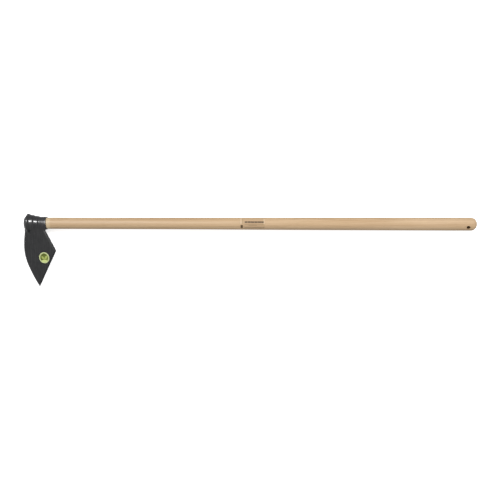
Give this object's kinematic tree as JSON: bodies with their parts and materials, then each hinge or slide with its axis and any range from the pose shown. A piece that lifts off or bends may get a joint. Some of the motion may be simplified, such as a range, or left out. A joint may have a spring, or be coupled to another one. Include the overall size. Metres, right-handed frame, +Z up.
{
  "type": "pointed field hoe",
  "caption": "Long-handled garden hoe: a forged socket head with a side-set pointed leaf blade, wedged on a round ash handle with a hang hole.",
  "frame": {"origin": "under the middle of the tool's plan outline, on the surface it lies on", "axes": "+X along the handle from the head to the grip, +Z up, blade pointing to -Y"},
  "size_m": [1.2092, 0.1948, 0.0503],
  "materials": {
    "forged_head": "satin",
    "handle_wood": "satin",
    "wedge_wood": "matte",
    "wedge_steel": "satin",
    "sticker": "gloss",
    "label_film": "satin"
  },
  "bodies": {
    "root": {"hoe_head": "forged_head", "handle": "handle_wood", "wooden_wedge": "wedge_wood", "steel_wedge": "wedge_steel", "blade_sticker": "sticker", "handle_label": "label_film"}
  },
  "joints": []
}
